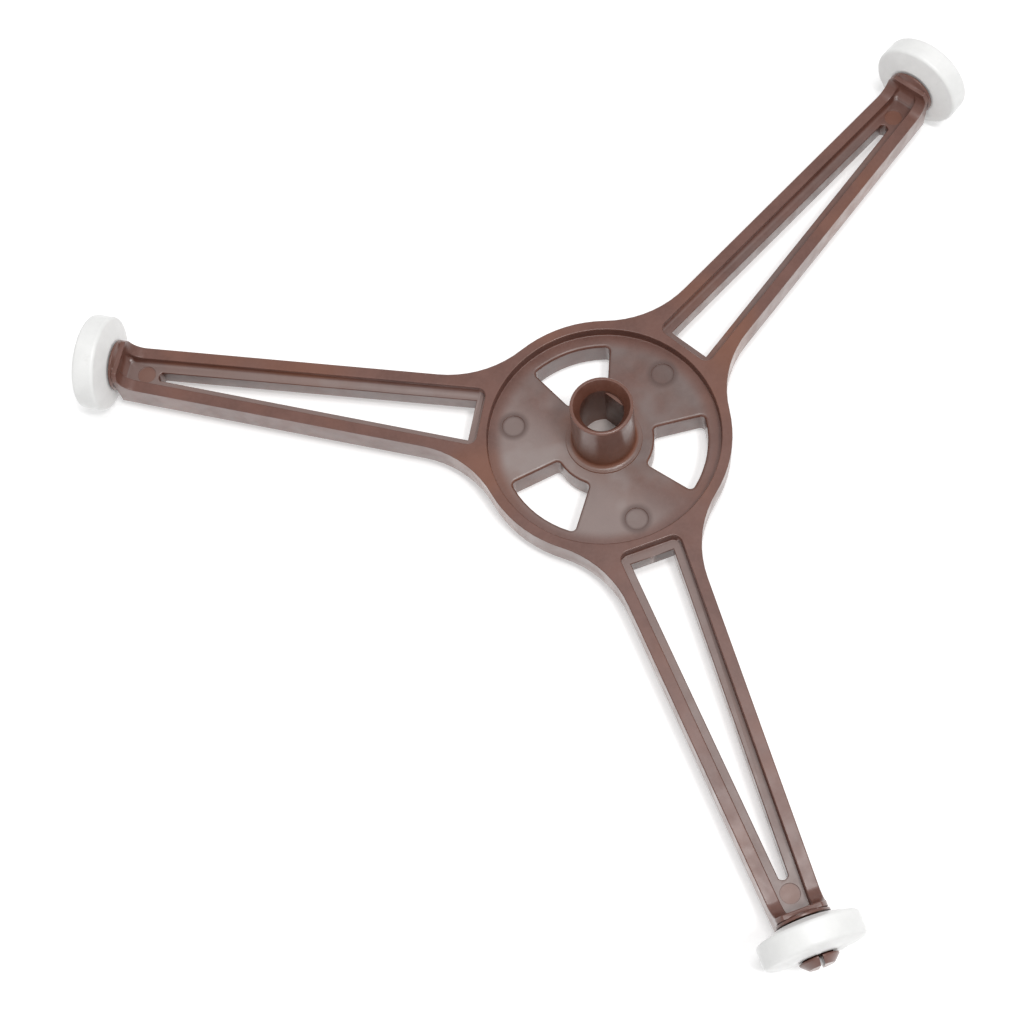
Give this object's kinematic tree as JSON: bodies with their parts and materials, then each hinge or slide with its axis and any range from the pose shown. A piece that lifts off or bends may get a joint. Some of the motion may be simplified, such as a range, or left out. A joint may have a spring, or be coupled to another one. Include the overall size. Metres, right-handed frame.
{
  "type": "microwave roller ring",
  "caption": "Moulded spider of slotted arms around a hub with a blind D-shaped drive socket; free-turning rollers on its arm ends carry a turntable tray.",
  "frame": {"origin": "centre of the drive socket's floor, on the hub's axis and level with the floor of the dished centre", "axes": "+Z along the hub's axis and out of the socket's mouth, which is up as pictured and down in use; +X along the arm that the socket's flat faces"},
  "size_m": [0.1578, 0.1794, 0.0202],
  "materials": {
    "spider_plastic": "brown heat-resistant moulding, polished",
    "roller_plastic": "white low-friction plastic, satin"
  },
  "bodies": {
    "spider": {"spider": "spider_plastic"},
    "roller_1": {"roller_1": "roller_plastic"},
    "roller_2": {"roller_2": "roller_plastic"},
    "roller_3": {"roller_3": "roller_plastic"}
  },
  "joints": [
    {"name": "roller_1_spin", "type": "hinge", "parent": "spider", "child": "roller_1", "pos_m": [0.096, 0, 0.0026], "axis": [1, 0, 0], "continuous": true},
    {"name": "roller_2_spin", "type": "hinge", "parent": "spider", "child": "roller_2", "pos_m": [-0.048, 0.08314, 0.0026], "axis": [-0.5, 0.866, 0], "continuous": true},
    {"name": "roller_3_spin", "type": "hinge", "parent": "spider", "child": "roller_3", "pos_m": [-0.048, -0.08314, 0.0026], "axis": [-0.5, -0.866, 0], "continuous": true}
  ]
}
